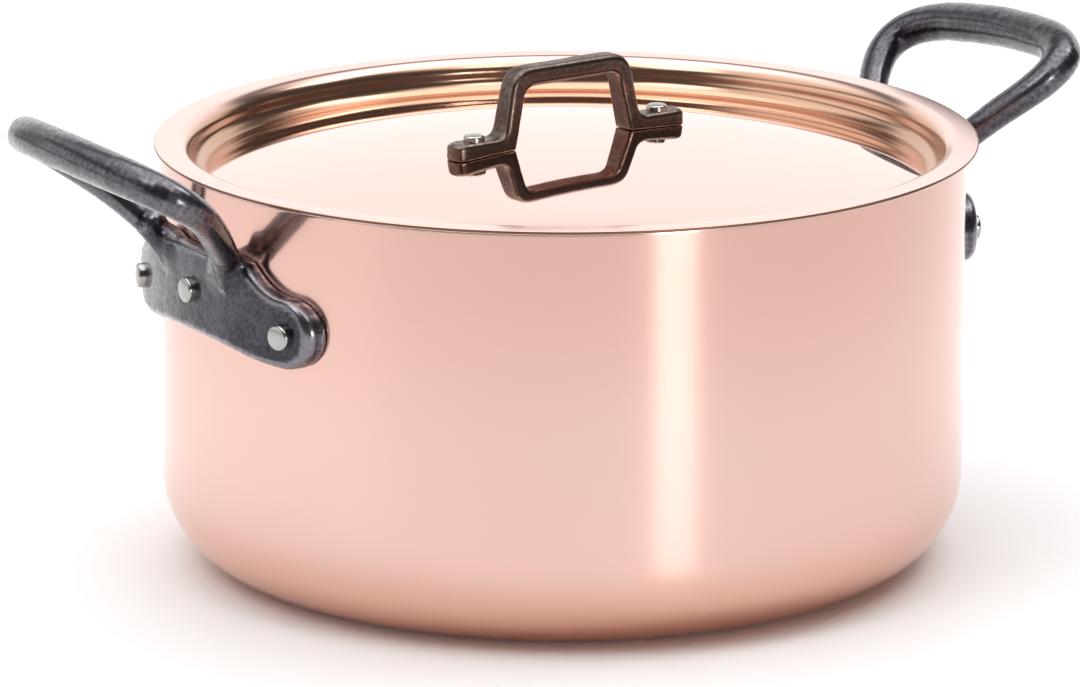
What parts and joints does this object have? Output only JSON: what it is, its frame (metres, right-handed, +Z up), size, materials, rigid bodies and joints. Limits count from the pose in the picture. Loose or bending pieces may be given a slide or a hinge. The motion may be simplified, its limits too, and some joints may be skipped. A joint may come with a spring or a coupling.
{
  "type": "lidded cooking pot",
  "caption": "Deep straight-sided copper stewpan with a steel lining, riveted cast iron loop handles and a domed plug lid that lifts off by its bridge handle.",
  "frame": {"origin": "centre of the flat base, on the surface the pot stands on", "axes": "+Z up, the pot's axis; X through the side handles, the left one on -X; -Y the near side"},
  "size_m": [0.3409, 0.2492, 0.153],
  "materials": {
    "copper": "mirror-polished bare copper",
    "lining": "satin stainless steel",
    "cast_iron": "dark cast iron, rubbed bright on its edges",
    "rivet_steel": "bright stainless steel"
  },
  "bodies": {
    "pot": {"pot_shell": "copper", "pot_lining": "lining", "left_handle": "cast_iron", "right_handle": "cast_iron", "left_rivet_back": "rivet_steel", "left_rivet_middle": "rivet_steel", "left_rivet_front": "rivet_steel", "right_rivet_back": "rivet_steel", "right_rivet_middle": "rivet_steel", "right_rivet_front": "rivet_steel"},
    "lid": {"lid_shell": "copper", "lid_lining": "lining", "lid_handle": "cast_iron", "lid_rivet_left": "rivet_steel", "lid_rivet_right": "rivet_steel"}
  },
  "joints": [
    {"name": "lid_lift", "type": "slide", "parent": "pot", "child": "lid", "axis": [0, 0, 1], "range_m": [0, 0.12]}
  ]
}
